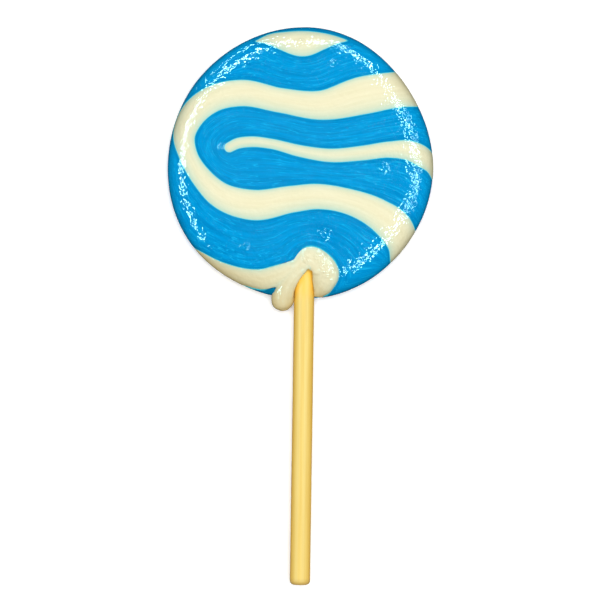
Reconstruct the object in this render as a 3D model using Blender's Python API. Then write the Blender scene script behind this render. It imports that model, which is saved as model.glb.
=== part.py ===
# Swirl lollipop: a flat round of blue pulled sugar with cream strands, on a round stick.
# It lies on its back. +Y runs from the stick towards the top of the head, and +Z is up.
# The origin is in the middle of the flat spot that the head rests on.

import math

import bmesh
import bpy

MM = 0.001

# The candy head.
HEAD_RADIUS = 28.96 * MM
HALF_THICK = 4.3 * MM
CROWN_POWER = 7.0
BACK_FLAT = 0.35 * MM
MID_HEIGHT = HALF_THICK - BACK_FLAT
# The outline isn't a true circle: (waves round the rim, height, angle of the highest point).
RIM_WAVES = (
    (2, 0.35 * MM, math.radians(86)),
    (3, 0.26 * MM, math.radians(-34)),
    (4, 0.08 * MM, math.radians(-2)),
    (5, 0.13 * MM, math.radians(-1)),
)
HEAD_SECTORS = 64
HEAD_RINGS = 9
# The grooves' floors are drawn with fewer.
FLOOR_SECTORS = 44
FLOOR_RINGS = 6
RING_CROWDING = 1.8

# The cream strands lie in grooves of the blue candy.
STRAND_DEPTH = 1.0 * MM
GAP = 0.3 * MM
PATH_STEP = 2.4 * MM
COLUMN_REACH = 8.6 * MM
# A strand on both faces is joined across mid-thickness; one on a single face stops short of it.
OVERLAP = 0.4 * MM
FACE_LIMIT = 0.9 * MM
TIP_ANGLES = (80, 55, 28)
# Towards the middle of the back the strands lie this far from where they are on the front.
BACK_DRIFT = (2.6 * MM, 1.2 * MM)

# Each strand's line over the front: x, y and half its width, in millimetres.
SWIRL = (
    (28.5, 16.7, 4.1), (20.5, 15.9, 3.85), (13.6, 14.65, 4.0), (4.5, 12.5, 3.06), (-4.2, 13.55, 2.58),
    (-12.8, 15.13, 2.77), (-18.6, 13.9, 2.85), (-22.5, 10.4, 2.50), (-24.4, 6.0, 2.30),
    (-24.0, 2.0, 2.10), (-20.9, -3.3, 2.20), (-17.2, -6.8, 2.70), (-10.2, -8.93, 3.18), (-1.7, -7.68, 2.80),
    (3.5, -7.12, 2.65), (9.5, -7.95, 2.62), (16.9, -11.0, 3.25), (20.4, -13.8, 3.70), (22.2, -17.2, 3.30),
    (22.9, -21.5, 3.30),
)
TAIL = (
    (-15.2, 3.45, 1.02), (-13.7, 4.2, 1.08), (-10.5, 4.65, 1.08), (-6.3, 4.22, 1.02), (0.2, 2.62, 1.20),
    (6.6, 1.72, 1.38), (13.1, 2.18, 1.50), (19.6, 2.98, 1.70), (23.6, 2.75, 2.10), (26.6, 1.3, 2.15),
    (28.4, -0.5, 1.50), (30.5, -3.7, 1.50),
)
TOP = (
    (-9.6, 26.4, 0.05), (-6.2, 26.8, 1.20), (-3.3, 26.35, 2.05), (0.6, 25.85, 2.75), (4.5, 26.35, 1.85),
    (7.0, 26.6, 1.05), (10.2, 26.6, 0.05),
)
BAND = (
    (-23.1, -18.2, 0.10), (-16.9, -22.55, 1.25), (-10.4, -24.75, 1.97), (-8.0, -24.95, 2.22),
    (-5.3, -24.3, 2.25), (-2.0, -22.9, 1.90),
)
# The fold of cream candy round the stick: x, y, half width, height of its shoulders, how far its
# crown rises over them, and how deep it goes below them.
FOLD = (
    (-3.4, -31.7, 0.6, 0.0, 0.6, 0.6), (-3.5, -31.1, 1.6, 0.0, 1.5, 1.5),
    (-3.65, -30.25, 2.3, 0.1, 1.9, 2.2), (-3.75, -29.0, 2.45, 0.6, 1.8, 3.0),
    (-3.2, -26.85, 2.1, 1.7, 1.35, 4.0), (-1.9, -24.35, 1.9, 2.9, 0.9, 4.9),
    (-0.3, -22.05, 2.0, 3.65, 0.7, 5.2), (2.1, -20.05, 2.35, 4.0, 0.6, 5.3),
    (4.5, -21.4, 2.55, 3.85, 0.75, 5.2), (5.5, -23.65, 2.95, 3.3, 1.1, 4.9),
    (4.95, -25.7, 2.5, 2.5, 1.2, 4.0), (4.15, -27.4, 1.9, 1.3, 1.2, 2.6),
    (3.9, -28.2, 1.4, 0.75, 1.0, 1.6), (3.85, -28.75, 0.95, 0.3, 0.8, 1.0),
)
FOLD_SIDES = 16
FOLD_STEP = 1.0 * MM
# The notch that the fold leaves open above the stick: x, y and half width.
NOTCH = (
    (2.1, -21.95, 0.25), (1.75, -23.5, 0.85), (1.25, -25.0, 1.55), (0.95, -27.0, 2.15), (0.85, -32.0, 2.35),
)
NOTCH_TOP = 6.45 * MM
NOTCH_LEAN = 0.35

# The stick: a plain dowel, pushed more than a third of its length into the head.
STICK_RADIUS = 2.18 * MM
STICK_LENGTH = 101.6 * MM
STICK_END = (-0.05 * MM, -90.9 * MM)
STICK_LEAN = math.radians(0.85)
STICK_END_ROUND = 0.9 * MM
STICK_SIDES = 28
ROUND_STEPS = 4

BLUE = (0.0, 0.33, 0.71, 1.0)
CREAM = (0.93, 0.88, 0.62, 1.0)
STRAW = (0.93, 0.69, 0.25, 1.0)
BLUE_ROUGHNESS = 0.18
CREAM_ROUGHNESS = 0.2
STRAW_ROUGHNESS = 0.5
SHARP_ANGLE = math.radians(35)


def material(name, colour, roughness):
    made = bpy.data.materials.new(name)
    made.use_nodes = True
    shader = made.node_tree.nodes["Principled BSDF"]
    shader.inputs["Base Color"].default_value = colour
    shader.inputs["Roughness"].default_value = roughness
    shader.inputs["Metallic"].default_value = 0.0
    return made


def mesh_object(name, points, faces):
    """A closed mesh with its faces turned outwards, linked into the scene."""
    mesh = bpy.data.meshes.new(name)
    mesh.from_pydata(points, [], faces)
    work = bmesh.new()
    work.from_mesh(mesh)
    bmesh.ops.recalc_face_normals(work, faces=work.faces)
    work.to_mesh(mesh)
    work.free()
    made = bpy.data.objects.new(name, mesh)
    bpy.context.scene.collection.objects.link(made)
    return made


def loft(name, sections):
    """A closed body through a row of sections, each a ring of as many points, with flat ends."""
    count = len(sections[0])
    points = [point for ring in sections for point in ring]
    faces = [tuple(range(count)), tuple(range(len(points) - count, len(points)))]
    for ring in range(len(sections) - 1):
        low = ring * count
        for i in range(count):
            j = (i + 1) % count
            faces.append((low + i, low + j, low + count + j, low + count + i))
    return mesh_object(name, points, faces)


def combine(target, tool, operation, solver="EXACT"):
    """Applies one Boolean to the target and removes the tool."""
    change = target.modifiers.new(operation.lower(), "BOOLEAN")
    change.operation = operation
    change.object = tool
    change.solver = solver
    view = bpy.context.evaluated_depsgraph_get()
    result = bpy.data.meshes.new_from_object(target.evaluated_get(view))
    target.modifiers.clear()
    target.data = result
    bpy.data.objects.remove(tool)
    return target


def rim_radius(angle):
    return HEAD_RADIUS + sum(h * math.cos(n * (angle - peak)) for n, h, peak in RIM_WAVES)


def head_form(name, inset=0.0, sectors=HEAD_SECTORS, rings=HEAD_RINGS):
    """The head's outer form, or the same form drawn in all round by the inset."""
    shares = [1 - (1 - k / rings) ** RING_CROWDING for k in range(1, rings)]
    thick = HALF_THICK - inset
    flat = HALF_THICK - BACK_FLAT - inset
    points = [(0.0, 0.0, thick), (0.0, 0.0, -flat)]
    for side in (1, -1):
        for share in shares:
            height = thick * math.sqrt(1 - share**CROWN_POWER)
            level = height if side > 0 else -min(height, flat)
            points += head_ring(share, sectors, inset, level)
    points += head_ring(1.0, sectors, inset, 0.0)
    count = len(shares)
    front = [2 + k * sectors for k in range(count)]
    back = [2 + (count + k) * sectors for k in range(count)]
    edge = 2 + 2 * count * sectors
    faces = []
    for centre, starts in ((0, front), (1, back)):
        starts = [*starts, edge]
        for i in range(sectors):
            j = (i + 1) % sectors
            faces.append((centre, starts[0] + i, starts[0] + j))
            for inner, outer in zip(starts, starts[1:]):
                faces.append((inner + i, outer + i, outer + j, inner + j))
    return mesh_object(name, points, faces)


def head_ring(share, sectors, inset, level):
    """One ring of the head, at a share of the way from its middle to its rim."""
    ring = []
    for i in range(sectors):
        angle = 2 * math.pi * i / sectors
        reach = (rim_radius(angle) - inset) * share
        ring.append((reach * math.cos(angle), reach * math.sin(angle), level))
    return ring


def groove_floor(inset):
    """The head's form drawn in to the depth of a strand or its groove."""
    return head_form("floor", inset, FLOOR_SECTORS, FLOOR_RINGS)


def smooth_path(stations, spacing=PATH_STEP):
    """A curve through the stations, whose numbers after the first two vary with it, in metres."""
    knots = [[value * MM for value in station] for station in stations]
    gaps = [math.dist(a[:2], b[:2]) for a, b in zip(knots, knots[1:])]
    slopes = [[(q - p) / gap for p, q in zip(a, b)] for a, b, gap in zip(knots, knots[1:], gaps)]
    turns = [slopes[0]]
    for i in range(1, len(knots) - 1):
        before, after = gaps[i - 1], gaps[i]
        pairs = zip(slopes[i - 1], slopes[i])
        turns.append([(p * after + q * before) / (before + after) for p, q in pairs])
    turns.append(slopes[-1])
    path = []
    for i, gap in enumerate(gaps):
        steps = max(1, round(gap / spacing))
        for step in range(steps):
            t = step / steps
            row = zip(knots[i], turns[i], knots[i + 1], turns[i + 1])
            path.append([hermite(t, gap, *values) for values in row])
    path.append(knots[-1])
    return path


def hermite(t, gap, start, start_slope, end, end_slope):
    return (
        (2 * t**3 - 3 * t**2 + 1) * start
        + (t**3 - 2 * t**2 + t) * gap * start_slope
        + (3 * t**2 - 2 * t**3) * end
        + (t**3 - t**2) * gap * end_slope
    )


def directions(path):
    """The unit direction of the path at each of its points."""
    found = []
    for i in range(len(path)):
        a, b = path[max(i - 1, 0)], path[min(i + 1, len(path) - 1)]
        length = math.dist(a[:2], b[:2])
        found.append(((b[0] - a[0]) / length, (b[1] - a[1]) / length))
    return found


def with_tips(path, grow, first, last):
    """The path with its first or last end rounded off, and run out by what the strand grows."""
    if last:
        path = with_tips(path[::-1], grow, True, False)[::-1]
    if not first:
        return path
    (x, y, half), (dx, dy) = path[0], directions(path)[0]
    reach = half + grow
    tip = []
    for degrees in TIP_ANGLES:
        back, side = math.sin(math.radians(degrees)), math.cos(math.radians(degrees))
        tip.append([x - dx * reach * back, y - dy * reach * back, reach * side - grow])
    return tip + path


def drifted(x, y):
    """Where a point of the front pattern lies on the back: moved inside, unmoved at the rim."""
    inside = max(0.0, 1 - (x * x + y * y) / HEAD_RADIUS**2)
    return (x + BACK_DRIFT[0] * inside, y + BACK_DRIFT[1] * inside)


def strand_column(name, path, grow, front, start):
    """An upright column over the strand's outline, from the start height outwards."""
    low, high = (start, COLUMN_REACH) if front else (-COLUMN_REACH, -start)
    sections = []
    for (x, y, half), (dx, dy) in zip(path, directions(path)):
        wide = half + grow
        left, right = (x - dy * wide, y + dx * wide), (x + dy * wide, y - dx * wide)
        if not front:
            left, right = drifted(*left), drifted(*right)
        sections.append([(*left, low), (*left, high), (*right, high), (*right, low)])
    return loft(name, sections)


def strand_columns(stations, grow, tips, sides):
    """The column over the front outline, the back outline, or both joined."""
    path = with_tips(smooth_path(stations), grow, *tips)
    start = -OVERLAP if sides == "both" else FACE_LIMIT
    made = strand_column("column", path, grow, sides != "back", start - grow)
    if sides == "both":
        back = strand_column("column_back", path, grow, False, start - grow)
        combine(made, back, "UNION")
    return made


def strand(name, stations, tips, sides):
    """A strand of even depth that follows the head's surface."""
    columns = strand_columns(stations, 0.0, tips, sides)
    made = combine(head_form(name), columns, "INTERSECT")
    return combine(made, groove_floor(STRAND_DEPTH), "DIFFERENCE")


def groove(stations, tips, sides):
    """The space that a strand and its gap take out of the blue candy."""
    made = strand_columns(stations, GAP, tips, sides)
    return combine(made, groove_floor(STRAND_DEPTH + GAP), "DIFFERENCE")


def fold_rope(name, grow):
    """The rope of candy that bends round the stick like a horseshoe."""
    path = smooth_path(FOLD, FOLD_STEP)
    sections = []
    for (x, y, half, shoulder, crown, depth), (dx, dy) in zip(path, directions(path)):
        ring = []
        for i in range(FOLD_SIDES):
            angle = 2 * math.pi * i / FOLD_SIDES
            across = (half + grow) * math.cos(angle)
            tall = crown if math.sin(angle) > 0 else depth
            up = (tall + grow) * math.sin(angle)
            ring.append((x - dy * across, y + dx * across, shoulder + up))
        sections.append(ring)
    ends = ((sections[0], directions(path)[0], -1), (sections[-1], directions(path)[-1], 1))
    for ring, (dx, dy), way in ends:
        ring[:] = [(x + dx * way * grow, y + dy * way * grow, z) for x, y, z in ring]
    return loft(name, sections)


def stick_point(along):
    """A point of the stick's centre line, counted from its free end."""
    x, y = STICK_END
    return (x + along * math.sin(STICK_LEAN), y + along * math.cos(STICK_LEAN))


def turned(name, profile):
    """A round body about the stick's centre line, from pairs of distance along it and radius."""
    sections = []
    for along, radius in profile:
        x, y = stick_point(along)
        ring = []
        for i in range(STICK_SIDES):
            angle = 2 * math.pi * i / STICK_SIDES
            across, up = radius * math.cos(angle), radius * math.sin(angle)
            ring.append((x + across * math.cos(STICK_LEAN), y - across * math.sin(STICK_LEAN), up))
        sections.append(ring)
    return loft(name, sections)


def stick():
    start, end = [], []
    for i in range(ROUND_STEPS + 1):
        angle = math.pi / 2 * i / ROUND_STEPS
        inset = STICK_END_ROUND * (1 - math.sin(angle))
        depth = STICK_END_ROUND * (1 - math.cos(angle))
        start.append((depth, STICK_RADIUS - inset))
        end.append((STICK_LENGTH - depth, STICK_RADIUS - inset))
    return turned("stick", start + end[::-1])


def stick_hole():
    """The space round the stick, from its inner end to well outside the head."""
    start = STICK_LENGTH / 2
    return turned("hole", [(start, STICK_RADIUS + GAP), (STICK_LENGTH + GAP, STICK_RADIUS + GAP)])


def notch():
    """The pointed opening in the front through which the stick is seen."""
    sections = []
    for station in NOTCH:
        x, y, half = (value * MM for value in station)
        lean = half * NOTCH_LEAN
        ring = [(x - half, y, 0.0), (x - half - lean, y, NOTCH_TOP), (x + half + lean, y, NOTCH_TOP)]
        sections.append([*ring, (x + half, y, 0.0)])
    return loft("notch", sections)


def drop_scraps(work):
    """Keeps the largest connected body and drops loose crumbs that a cut has left."""
    left, bodies = set(work.verts), []
    while left:
        reached, edge = set(), [left.pop()]
        while edge:
            vert = edge.pop()
            reached.add(vert)
            near = [link.other_vert(vert) for link in vert.link_edges]
            edge += [other for other in near if other in left]
            left.difference_update(near)
        bodies.append(reached)
    bodies.sort(key=len)
    scraps = [vert for body in bodies[:-1] for vert in body]
    bmesh.ops.delete(work, geom=scraps, context="VERTS")


def finish(made, name, colour_of):
    """Names the piece, shades it smooth and hangs it on the empty at mid-thickness."""
    work = bmesh.new()
    work.from_mesh(made.data)
    drop_scraps(work)
    work.to_mesh(made.data)
    work.free()
    made.name = name
    made.data.name = name
    made.data.materials.clear()
    made.data.materials.append(colour_of)
    made.data.shade_smooth()
    made.data.set_sharp_from_angle(angle=SHARP_ANGLE)
    made.parent = middle


for old in list(bpy.data.objects):
    bpy.data.objects.remove(old)

middle = bpy.data.objects.new("lollipop", None)
middle.location = (0.0, 0.0, MID_HEIGHT)
bpy.context.scene.collection.objects.link(middle)

blue = material("blue_candy", BLUE, BLUE_ROUGHNESS)
cream = material("cream_candy", CREAM, CREAM_ROUGHNESS)
straw = material("stick", STRAW, STRAW_ROUGHNESS)

# Each strand's node, line, whether its first and last ends lie on the head, and its faces.
strands = (
    ("cream_swirl", SWIRL, (False, False), "both"),
    ("cream_tail", TAIL, (True, False), "both"),
    ("cream_top", TOP, (True, True), "front"),
    ("cream_top_back", TOP, (True, True), "back"),
    ("cream_fold", BAND, (False, True), "both"),
)

body = head_form("blue_candy")
for node, stations, tips, sides in strands:
    piece = strand(node, stations, tips, sides)
    combine(body, groove(stations, tips, sides), "DIFFERENCE")
    if node == "cream_fold":
        combine(piece, fold_rope("rope", 0.0), "UNION", "MANIFOLD")
        combine(piece, stick_hole(), "DIFFERENCE", "MANIFOLD")
        combine(piece, notch(), "DIFFERENCE", "MANIFOLD")
    finish(piece, node, cream)
# The exact solver loses the body where the rope's end crosses the band's groove.
combine(body, fold_rope("rope_space", GAP), "DIFFERENCE", "MANIFOLD")
combine(body, stick_hole(), "DIFFERENCE", "MANIFOLD")
combine(body, notch(), "DIFFERENCE", "MANIFOLD")
finish(body, "blue_candy", blue)
finish(stick(), "stick", straw)
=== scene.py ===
import math

import bmesh
import bpy
import numpy as np
from mathutils import Matrix, Vector, noise


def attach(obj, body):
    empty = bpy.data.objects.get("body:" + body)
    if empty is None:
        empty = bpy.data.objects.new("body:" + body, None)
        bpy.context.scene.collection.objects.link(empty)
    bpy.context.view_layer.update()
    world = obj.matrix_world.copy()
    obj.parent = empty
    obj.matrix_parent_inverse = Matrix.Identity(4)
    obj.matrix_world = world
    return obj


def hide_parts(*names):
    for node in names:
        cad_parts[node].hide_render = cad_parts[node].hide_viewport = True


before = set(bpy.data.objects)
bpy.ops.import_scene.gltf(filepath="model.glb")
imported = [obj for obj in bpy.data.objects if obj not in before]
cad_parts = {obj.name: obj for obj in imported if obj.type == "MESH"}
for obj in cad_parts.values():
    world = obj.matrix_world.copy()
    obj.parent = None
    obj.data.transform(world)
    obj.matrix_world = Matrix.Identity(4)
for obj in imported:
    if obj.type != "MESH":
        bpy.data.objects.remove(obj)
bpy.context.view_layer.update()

# The candy head: a rope of blue and cream pulled sugar, coiled, pressed flat and rolled smooth while
# warm, so that both colours lie fused in one glossy surface. Its whole skin is drawn as one sheet of
# rings, and each colour is cut out of that sheet along its border. Sizes here are in millimetres.
MM = 0.001
HEAD_RADIUS = 28.96
HALF_THICK = 4.3
BACK_FLAT = 0.35
MID_HEIGHT = HALF_THICK - BACK_FLAT
CROWN_POWER = 7.0
RIM_WAVES = (
    (2, 0.35, math.radians(86)),
    (3, 0.26, math.radians(-34)),
    (4, 0.08, math.radians(-2)),
    (5, 0.13, math.radians(-1)),
)
# How finely the sheet is drawn; its rings stand evenly along the skin, whose profile is taken by
# angle beyond this share of the radius.
SECTORS = 456
FRONT_RINGS = 104
BACK_RINGS = 78
TURN_DOWN = 0.8
PROFILE_STEPS = 1000
# How finely a line is drawn, how near to a border a point is moved onto it, and which bends of a
# mesh stay sharp.
LINE_STEP = 0.15
SNAP = 0.012
SHARP_ANGLE = math.radians(50)
# The shift of the pattern on the back, the depth of the grooves that the strands lie in, and how
# far the patch at the top stays from mid-thickness.
BACK_DRIFT = np.array((2.6, 1.2))
GROOVE_DEPTH = 1.0
FACE_LIMIT = 0.9

# Where the cream lies: x, y and half the width of each strand along its line over the front.
SWIRL = (
    (28.5, 16.7, 4.1), (20.5, 15.9, 3.85), (13.6, 14.65, 4.0), (4.5, 12.5, 3.06), (-4.2, 13.55, 2.58),
    (-12.8, 15.13, 2.77), (-18.7, 13.95, 2.8), (-23.15, 10.5, 2.75), (-25.0, 6.0, 2.32),
    (-24.15, 2.0, 1.95), (-20.9, -3.3, 2.2), (-17.2, -6.8, 2.7), (-10.2, -8.93, 3.18), (-1.7, -7.68, 2.8),
    (3.5, -7.12, 2.65), (9.5, -7.95, 2.62), (16.9, -11.0, 3.25), (20.4, -13.8, 3.7), (22.2, -17.2, 3.3),
    (22.9, -21.5, 3.3),
)
TAIL = (
    (-15.2, 3.45, 1.02), (-13.7, 4.2, 1.08), (-10.5, 4.65, 1.08), (-6.3, 4.22, 1.02), (0.2, 2.62, 1.2),
    (6.6, 1.72, 1.38), (13.1, 2.18, 1.5), (19.6, 2.98, 1.7), (23.6, 2.75, 2.1), (26.6, 1.3, 2.15),
    (28.4, -0.5, 1.5), (30.5, -3.7, 1.5),
)
TOP = (
    (-9.6, 26.4, 0.05), (-6.2, 26.8, 1.2), (-3.3, 26.35, 2.05), (0.6, 25.85, 2.75), (4.5, 26.35, 1.85),
    (7.0, 26.6, 1.05), (10.2, 26.6, 0.05),
)
BAND = (
    (-23.1, -18.2, 0.10), (-16.9, -22.55, 1.25), (-10.4, -24.75, 1.97), (-8.0, -24.95, 2.22),
    (-5.3, -24.3, 2.25), (-2.0, -22.9, 1.9), (0.8, -21.9, 1.9),
)
# The fold round the stick: x, y, half width, height of its shoulders, how far its crown rises over
# them, and how deep it goes below them.
FOLD = (
    (-3.4, -31.7, 0.6, 0.0, 0.6, 0.6), (-3.5, -31.1, 1.6, 0.0, 1.5, 1.5),
    (-3.65, -30.25, 2.3, 0.1, 1.9, 2.2), (-3.75, -29.0, 2.45, 0.6, 1.8, 3.0),
    (-3.2, -26.85, 2.1, 1.7, 1.35, 4.0), (-1.9, -24.35, 1.9, 2.9, 0.9, 4.9),
    (-0.3, -22.05, 2.0, 3.65, 0.7, 5.2), (2.1, -20.05, 2.35, 4.0, 0.6, 5.3),
    (4.5, -21.4, 2.55, 3.85, 0.75, 5.2), (5.5, -23.65, 2.95, 3.3, 1.1, 4.9),
    (4.95, -25.7, 2.5, 2.5, 1.2, 4.0), (4.15, -27.4, 1.9, 1.3, 1.2, 2.6),
    (3.9, -28.2, 1.4, 0.75, 1.0, 1.6), (3.85, -28.75, 0.95, 0.3, 0.8, 1.0),
)
# The opening that the fold leaves over the stick: y, x of its middle and half its width.
ARCH = (
    (-33.0, 0.85, 2.1), (-29.0, 0.85, 2.1), (-27.0, 0.95, 1.97), (-25.0, 1.3, 1.33),
    (-23.5, 1.7, 0.62), (-22.35, 1.85, 0.0),
)


def rim_radius(angle):
    return HEAD_RADIUS + sum(high * np.cos(waves * (angle - peak)) for waves, high, peak in RIM_WAVES)


def ring_profile():
    """Share of the radius and level of each ring, from the front's middle over the rim to the back's."""
    share = np.linspace(0, TURN_DOWN, PROFILE_STEPS)
    turn = np.linspace(math.asin(TURN_DOWN ** (CROWN_POWER / 2)), math.pi / 2, PROFILE_STEPS)[1:]
    share = np.concatenate([share, np.sin(turn) ** (2 / CROWN_POWER)])
    level = HALF_THICK * np.sqrt(np.clip(1 - share**CROWN_POWER, 0, None))
    rows = []
    for height, rings in ((level, FRONT_RINGS), (np.minimum(level, MID_HEIGHT), BACK_RINGS)):
        length = np.concatenate([[0], np.cumsum(np.hypot(np.diff(share) * HEAD_RADIUS, np.diff(height)))])
        even = np.linspace(0, length[-1], rings + 1)[1:]
        rows.append((np.interp(even, length, share), np.interp(even, length, height)))
    (front_share, front_level), (back_share, back_level) = rows
    shares = np.concatenate([front_share, back_share[-2::-1]])
    levels = np.concatenate([front_level, -back_level[-2::-1]])
    return shares, levels


def head_sheet():
    """The skin's points, the way out of the candy at each, and its faces."""
    shares, levels = ring_profile()
    angle = np.arange(SECTORS) * 2 * math.pi / SECTORS
    reach = rim_radius(angle)
    rings = len(shares)
    radius = shares[:, None] * reach[None, :]
    x, y = radius * np.cos(angle), radius * np.sin(angle)
    z = np.repeat(levels[:, None], SECTORS, axis=1)
    points = np.stack([x, y, z], axis=2).reshape(-1, 3)
    slope = CROWN_POWER * shares**(CROWN_POWER - 1) / HEAD_RADIUS
    upward = 2 * levels / HALF_THICK**2
    slope[levels <= -MID_HEIGHT] = 0
    out = np.stack([slope[:, None] * np.cos(angle), slope[:, None] * np.sin(angle),
                    np.repeat(upward[:, None], SECTORS, axis=1)], axis=2).reshape(-1, 3)
    points = np.concatenate([[(0, 0, HALF_THICK)], points, [(0, 0, -MID_HEIGHT)]])
    out = np.concatenate([[(0, 0, 1)], out, [(0, 0, -1)]])
    out /= np.linalg.norm(out, axis=1)[:, None]
    faces = []
    last = 1 + (rings - 1) * SECTORS
    for i in range(SECTORS):
        j = (i + 1) % SECTORS
        faces.append((0, 1 + i, 1 + j))
        for inner in range(1, last, SECTORS):
            faces.append((inner + i, inner + SECTORS + i, inner + SECTORS + j, inner + j))
        faces.append((last + i, len(points) - 1, last + j))
    return points, out, faces


def smooth_line(stations, spacing=LINE_STEP):
    """A smooth line through the stations, as rows of x, y and whatever follows them."""
    knots = np.array(stations)
    gaps = np.hypot(*np.diff(knots[:, :2], axis=0).T)
    slopes = np.diff(knots, axis=0) / gaps[:, None]
    turns = np.concatenate([slopes[:1], slopes])
    before, after = gaps[:-1, None], gaps[1:, None]
    turns[1:-1] = (slopes[:-1] * after + slopes[1:] * before) / (before + after)
    rows = []
    for i, gap in enumerate(gaps):
        t = np.linspace(0, 1, max(2, round(gap / spacing)), endpoint=False)[:, None]
        rows.append(
            (2 * t**3 - 3 * t**2 + 1) * knots[i]
            + (t**3 - 2 * t**2 + t) * gap * turns[i]
            + (3 * t**2 - 2 * t**3) * knots[i + 1]
            + (t**3 - t**2) * gap * turns[i + 1]
        )
    rows.append(knots[-1:])
    return np.concatenate(rows)


AT_ONCE = 4000
DRIFT_ROUNDS = 5


def beyond_edge(stations, places):
    """How far each place lies beyond the strand's edge, its way across the line, and how far the line
    runs to the right there."""
    line = smooth_line(stations)
    ahead = np.gradient(line[:, :2], axis=0)
    ahead /= np.hypot(*ahead.T)[:, None]
    found = np.empty((len(places), 3))
    for start in range(0, len(places), AT_ONCE):
        apart = places[start:start + AT_ONCE, None, :] - line[None, :, :2]
        reach = np.hypot(apart[..., 0], apart[..., 1]) - line[:, 2]
        near = reach.argmin(axis=1)
        row = np.arange(len(near))
        gap = apart[row, near]
        side = ahead[near, 0] * gap[:, 1] - ahead[near, 1] * gap[:, 0]
        found[start:start + AT_ONCE] = np.stack([reach[row, near], side, ahead[near, 0]], axis=1)
    return found


def pattern_places(points):
    """Where each point lies in the front's pattern, which the back repeats a little shifted."""
    places = points[:, :2].copy()
    back = points[:, 2] < 0
    seen = places[back]
    for _ in range(DRIFT_ROUNDS):
        inside = np.clip(1 - (places[back] ** 2).sum(axis=1) / HEAD_RADIUS**2, 0, None)
        places[back] = seen - inside[:, None] * BACK_DRIFT
    return places


def arch_edge(places):
    """How far each place lies outside the opening over the stick."""
    rows = np.array(ARCH)
    middle = np.interp(places[:, 1], rows[:, 0], rows[:, 1])
    half = np.interp(places[:, 1], rows[:, 0], rows[:, 2])
    return np.maximum(np.abs(places[:, 0] - middle) - half, places[:, 1] - rows[-1, 0])


def soft_step(value, start, end):
    t = np.clip((value - start) / (end - start), 0, 1)
    return t * t * (3 - 2 * t)


def cut_sheet(rows, faces, column):
    """Splits each face that the column's nought line crosses, so none lies on both sides of it."""
    rows[np.abs(rows[:, column]) < SNAP, column] = 0
    value = rows[:, column].tolist()
    added, crossings = [], {}
    done = []
    for face in faces:
        heights = [value[i] for i in face]
        if min(heights) >= 0 or max(heights) <= 0:
            done.append(face)
            continue
        for k in range(1, len(face) - 1):
            corners = (face[0], face[k], face[k + 1])
            low, high = [], []
            for a, b in zip(corners, corners[1:] + corners[:1]):
                if value[a] <= 0:
                    low.append(a)
                if value[a] >= 0:
                    high.append(a)
                if value[a] * value[b] < 0:
                    first, second = min(a, b), max(a, b)
                    if (first, second) not in crossings:
                        crossings[first, second] = len(rows) + len(added)
                        share = value[first] / (value[first] - value[second])
                        added.append(rows[first] + share * (rows[second] - rows[first]))
                    low.append(crossings[first, second])
                    high.append(crossings[first, second])
            done += [tuple(side) for side in (low, high) if len(side) > 2]
    if added:
        added = np.array(added)
        added[:, column] = 0
        rows = np.concatenate([rows, added])
    return rows, done


def mesh_of(name, points, faces):
    """A mesh from points in millimetres and the faces between them."""
    mesh = bpy.data.meshes.new(name)
    mesh.from_pydata((np.array(points) * MM).tolist(), [], faces)
    return mesh


def stepped_mesh(name, faces, kinds, levels):
    """A mesh of faces at the level of their kind, with walls where two kinds meet."""
    index, points, made = {}, [], []

    def corner(kind, i):
        if (kind, i) not in index:
            index[kind, i] = len(points)
            points.append((kind, i))
        return index[kind, i]

    border = {}
    for face, kind in zip(faces, kinds):
        made.append(tuple(corner(kind, i) for i in face))
        for a, b in zip(face, face[1:] + face[:1]):
            border.setdefault((min(a, b), max(a, b)), []).append((kind, a, b))
    for sides in border.values():
        if len(sides) == 2 and sides[0][0] != sides[1][0]:
            (kind, a, b), (other, _, _) = sides
            made.append((corner(kind, b), corner(kind, a), corner(other, a), corner(other, b)))
    places = [levels[kind][i] for kind, i in points]
    return mesh_of(name, places, made), np.array([i for _, i in points])


def put_in_scene(name, data):
    made = bpy.data.objects.new(name, data)
    bpy.context.scene.collection.objects.link(made)
    return made


def piece(name, mesh):
    """Puts a mesh drawn about mid-thickness into the scene, closed and smooth, at its real height."""
    mesh.transform(Matrix.Translation((0, 0, MID_HEIGHT * MM)))
    mesh.validate()
    mesh.shade_smooth()
    mesh.set_sharp_from_angle(angle=SHARP_ANGLE)
    return put_in_scene(name, mesh)


def paint(mesh, name, values):
    """Keeps one number a point on the mesh, for its material to read."""
    layer = mesh.attributes.new(name, "FLOAT", "POINT")
    layer.data.foreach_set("value", np.asarray(values, dtype=np.float32))


# The bed that the fold lies in: how far it stays inside the fold's edge, how far it reaches round the
# opening over the stick and down the rim, and how deep it is.
BED_INSET = 0.35
BED_ROUND_ARCH = 0.7
BED_DOWN = 0.6
BED_DEPTH = 1.6
points, outward, sheet_faces = head_sheet()
places = pattern_places(points)
front = points[:, 2]
swirl, tail, top, band = (beyond_edge(line, places)[:, 0] for line in (SWIRL, TAIL, TOP, BAND))
rope = beyond_edge(FOLD, points[:, :2])[:, 0]
fold = np.minimum(band, rope)
arch = arch_edge(points[:, :2])
bed = np.maximum(np.minimum(rope + BED_INSET, arch - BED_ROUND_ARCH), -front - BED_DOWN)

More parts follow.
